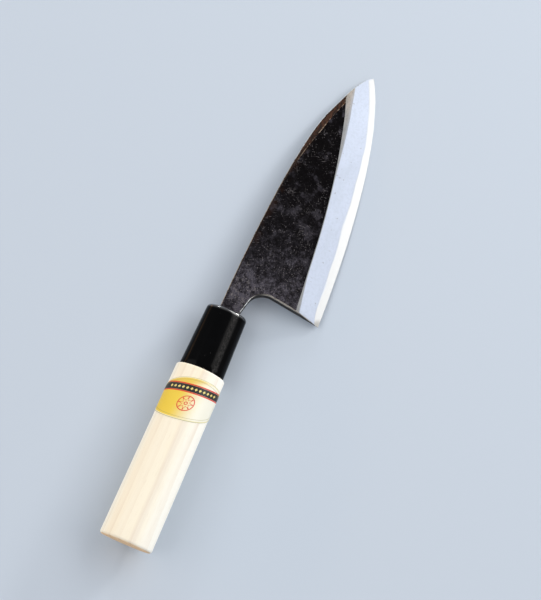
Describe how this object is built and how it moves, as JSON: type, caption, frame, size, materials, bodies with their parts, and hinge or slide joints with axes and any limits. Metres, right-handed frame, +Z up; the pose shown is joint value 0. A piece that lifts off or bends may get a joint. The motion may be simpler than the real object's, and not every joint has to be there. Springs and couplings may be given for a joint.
{
  "type": "deba knife",
  "caption": "Single-bevel deba knife: laminated blade with dark forge-scaled flat and ground bevel, black ferrule and oval wooden handle, lying on a table.",
  "frame": {"origin": "on the table, under the middle of the whole knife's box, with the knife lying as it rests: bevelled face up, on the wood's front rim and the edge's straight run near the tip", "axes": "+X along the handle to the tip, +Y to the spine, +Z up, out of the bevelled face"},
  "size_m": [0.2824, 0.0578, 0.0216],
  "materials": {
    "iron": "black forge scale on the flat, satin ground bevel",
    "steel": "bright ground",
    "ferrule": "polished black",
    "wood": "bare sanded magnolia",
    "label": "printed paper"
  },
  "bodies": {
    "root": {"blade_iron": "iron", "blade_steel": "steel", "ferrule": "ferrule", "handle": "wood", "label": "label"}
  },
  "joints": []
}
